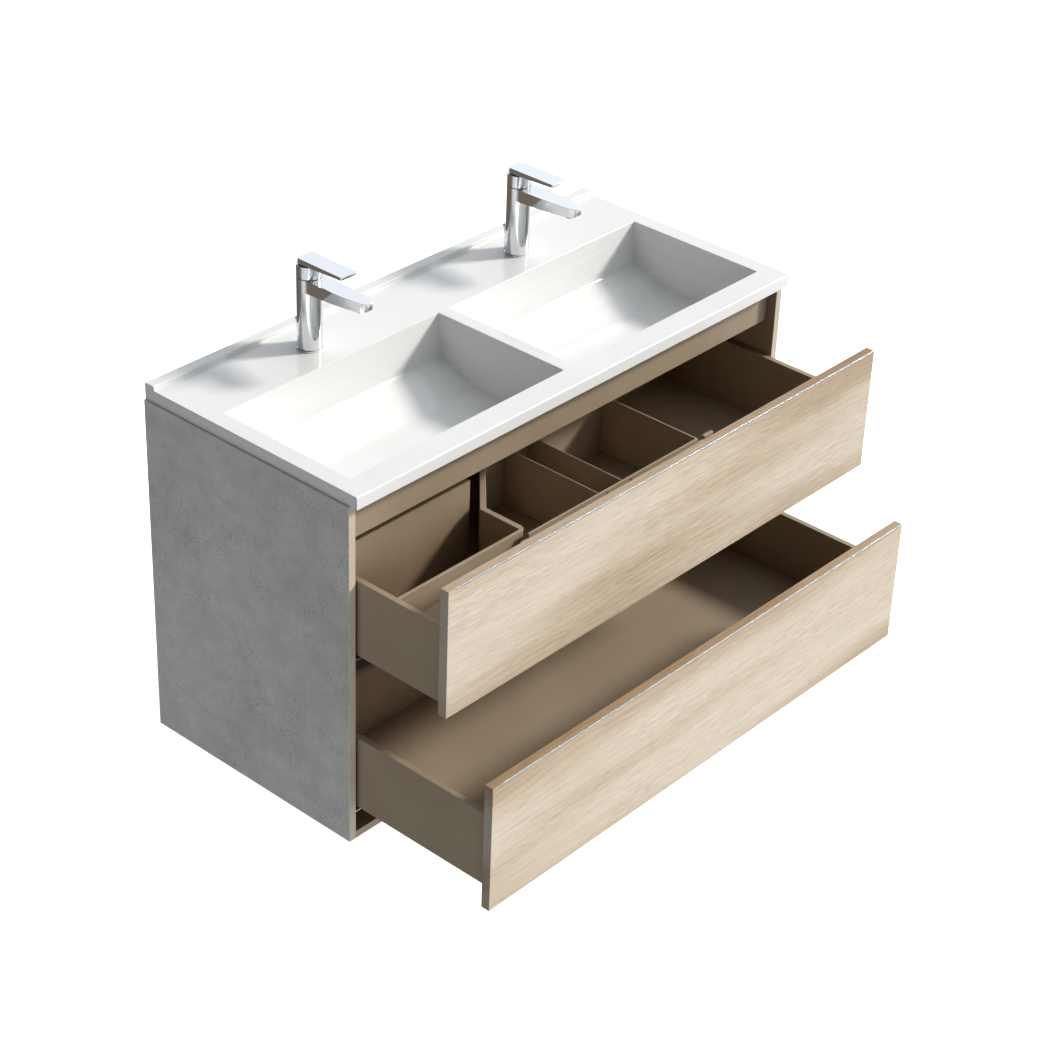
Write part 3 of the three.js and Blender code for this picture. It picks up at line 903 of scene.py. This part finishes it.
def turned(node, profile, radius, segments, centre, closed=False):
    """A turned piece in the place of a CAD node. Its profile's corners are rounded."""
    outline = rounded(in_mm(profile), radius, 3, closed)
    return to_object(f"{node}_fine", lathe(outline, segments, centre))


def add_waste(side):
    """The waste's ring, which stands 3 mm above the basin's floor, and its lifting plug."""
    ring, plug = f"waste_ring_{side}", f"waste_plug_{side}"
    low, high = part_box(f"waste_ring_{side}")
    centre = middle((low, high))
    centre.z = high.z - 3 * MM
    piece = turned(ring, [
        (18, -21), (21.7, -21), (21.7, 0), (31, 0), (32, 1), (31.3, 2.2), (27, 3), (20, 3), (18, 1),
    ], 0.7 * MM, 96, centre, closed=True)
    dress(soften(piece, 0), ring)
    piece = turned(plug, [
        (0, -16), (4, -16), (4, 9), (24, 11.5), (26, 12.5), (25.4, 13.8), (22, 14.6), (12, 15.6),
        (0, 16),
    ], 0.7 * MM, 96, centre)
    dress(soften(piece, 0), plug)


def spout(centre):
    """A spout with a level top and broad soft edges, narrowing to a blunt nose."""
    x, y, z = centre
    half = [(21, 4), (21, -20), (20.5, -60), (18.5, -104), (14.5, -138), (11, -151), (7, -154.5)]
    plan = half + [(0, -155.5)] + [(-u, v) for u, v in reversed(half)]
    side = [
        (4, 147), (4, 121), (-22, 121.5), (-60, 123), (-100, 125.5), (-136, 127.5),
        *arc(-146, 136.5, 9, 290, 180, 10),
        (-155.5, 143), (-155, 145.6), (-153, 147),
    ]
    seen_from_above = prism([(x + u * MM, y + v * MM) for u, v in plan], "Z", z + 0.1, z + 0.16)
    seen_from_side = prism([(y + u * MM, z + v * MM) for u, v in side], "X", x - 0.03, x + 0.03)
    piece = to_object("spout", seen_from_side)
    cut(piece, [seen_from_above], "INTERSECT")
    bm = clean_mesh(piece.data)
    bm.to_mesh(piece.data)
    bm.free()
    round_edges(piece, 3.6 * MM, 3, 60)
    return piece


def add_mixer(side):
    """The body with its spout, the turning cap, the lever, the lift rod and the aerator."""
    body, cap, rod = (f"tap_{side}_{name}" for name in ("body", "cartridge", "lift_rod"))
    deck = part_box(f"tap_{side}_body")[0].z
    centre = middle(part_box(f"tap_{side}_cartridge"))
    centre.z = deck
    piece = turned(
        body, [(0, 0), (25, 0), (25, 3), (24, 4.6), (24, 146.4), (23.4, 147), (0, 147)],
        0.8 * MM, 128, centre,
    )
    nozzle = spout(centre)
    tool = bmesh.new()
    tool.from_mesh(nozzle.data)
    bpy.data.objects.remove(nozzle)
    cut(piece, [tool], "UNION")
    dress(soften(piece, 0), body)

    piece = turned(
        cap, [(0, 147.5), (23.2, 147.5), (24, 148.3), (24, 172.6), (0, 172.6)],
        0.4 * MM, 128, centre,
    )
    dress(soften(piece, 0), cap)
    refine(f"tap_{side}_lever", 0.9 * MM, 3)

    rod_foot = middle(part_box(f"tap_{side}_lift_rod"))
    rod_foot.z = deck
    piece = turned(rod, [
        (0, -60), (2.5, -60), (2.5, 29), (3.2, 31), (5.4, 48), (5.4, 50.5), (4.4, 52), (0, 52),
    ], 0.8 * MM, 48, rod_foot)
    dress(soften(piece, 0), rod)
    refine(f"tap_{side}_aerator", 0.4 * MM)


# ---- putting it together ---------------------------------------------------------------------------------

bpy.context.scene.view_settings.view_transform = "Standard"
add_camera()
add_world()
add_sun()
add_floor()
refine_boards()
add_organiser_front()
add_basin_top()
for side, _ in SIDES:
    add_waste(side)
    add_mixer(side)
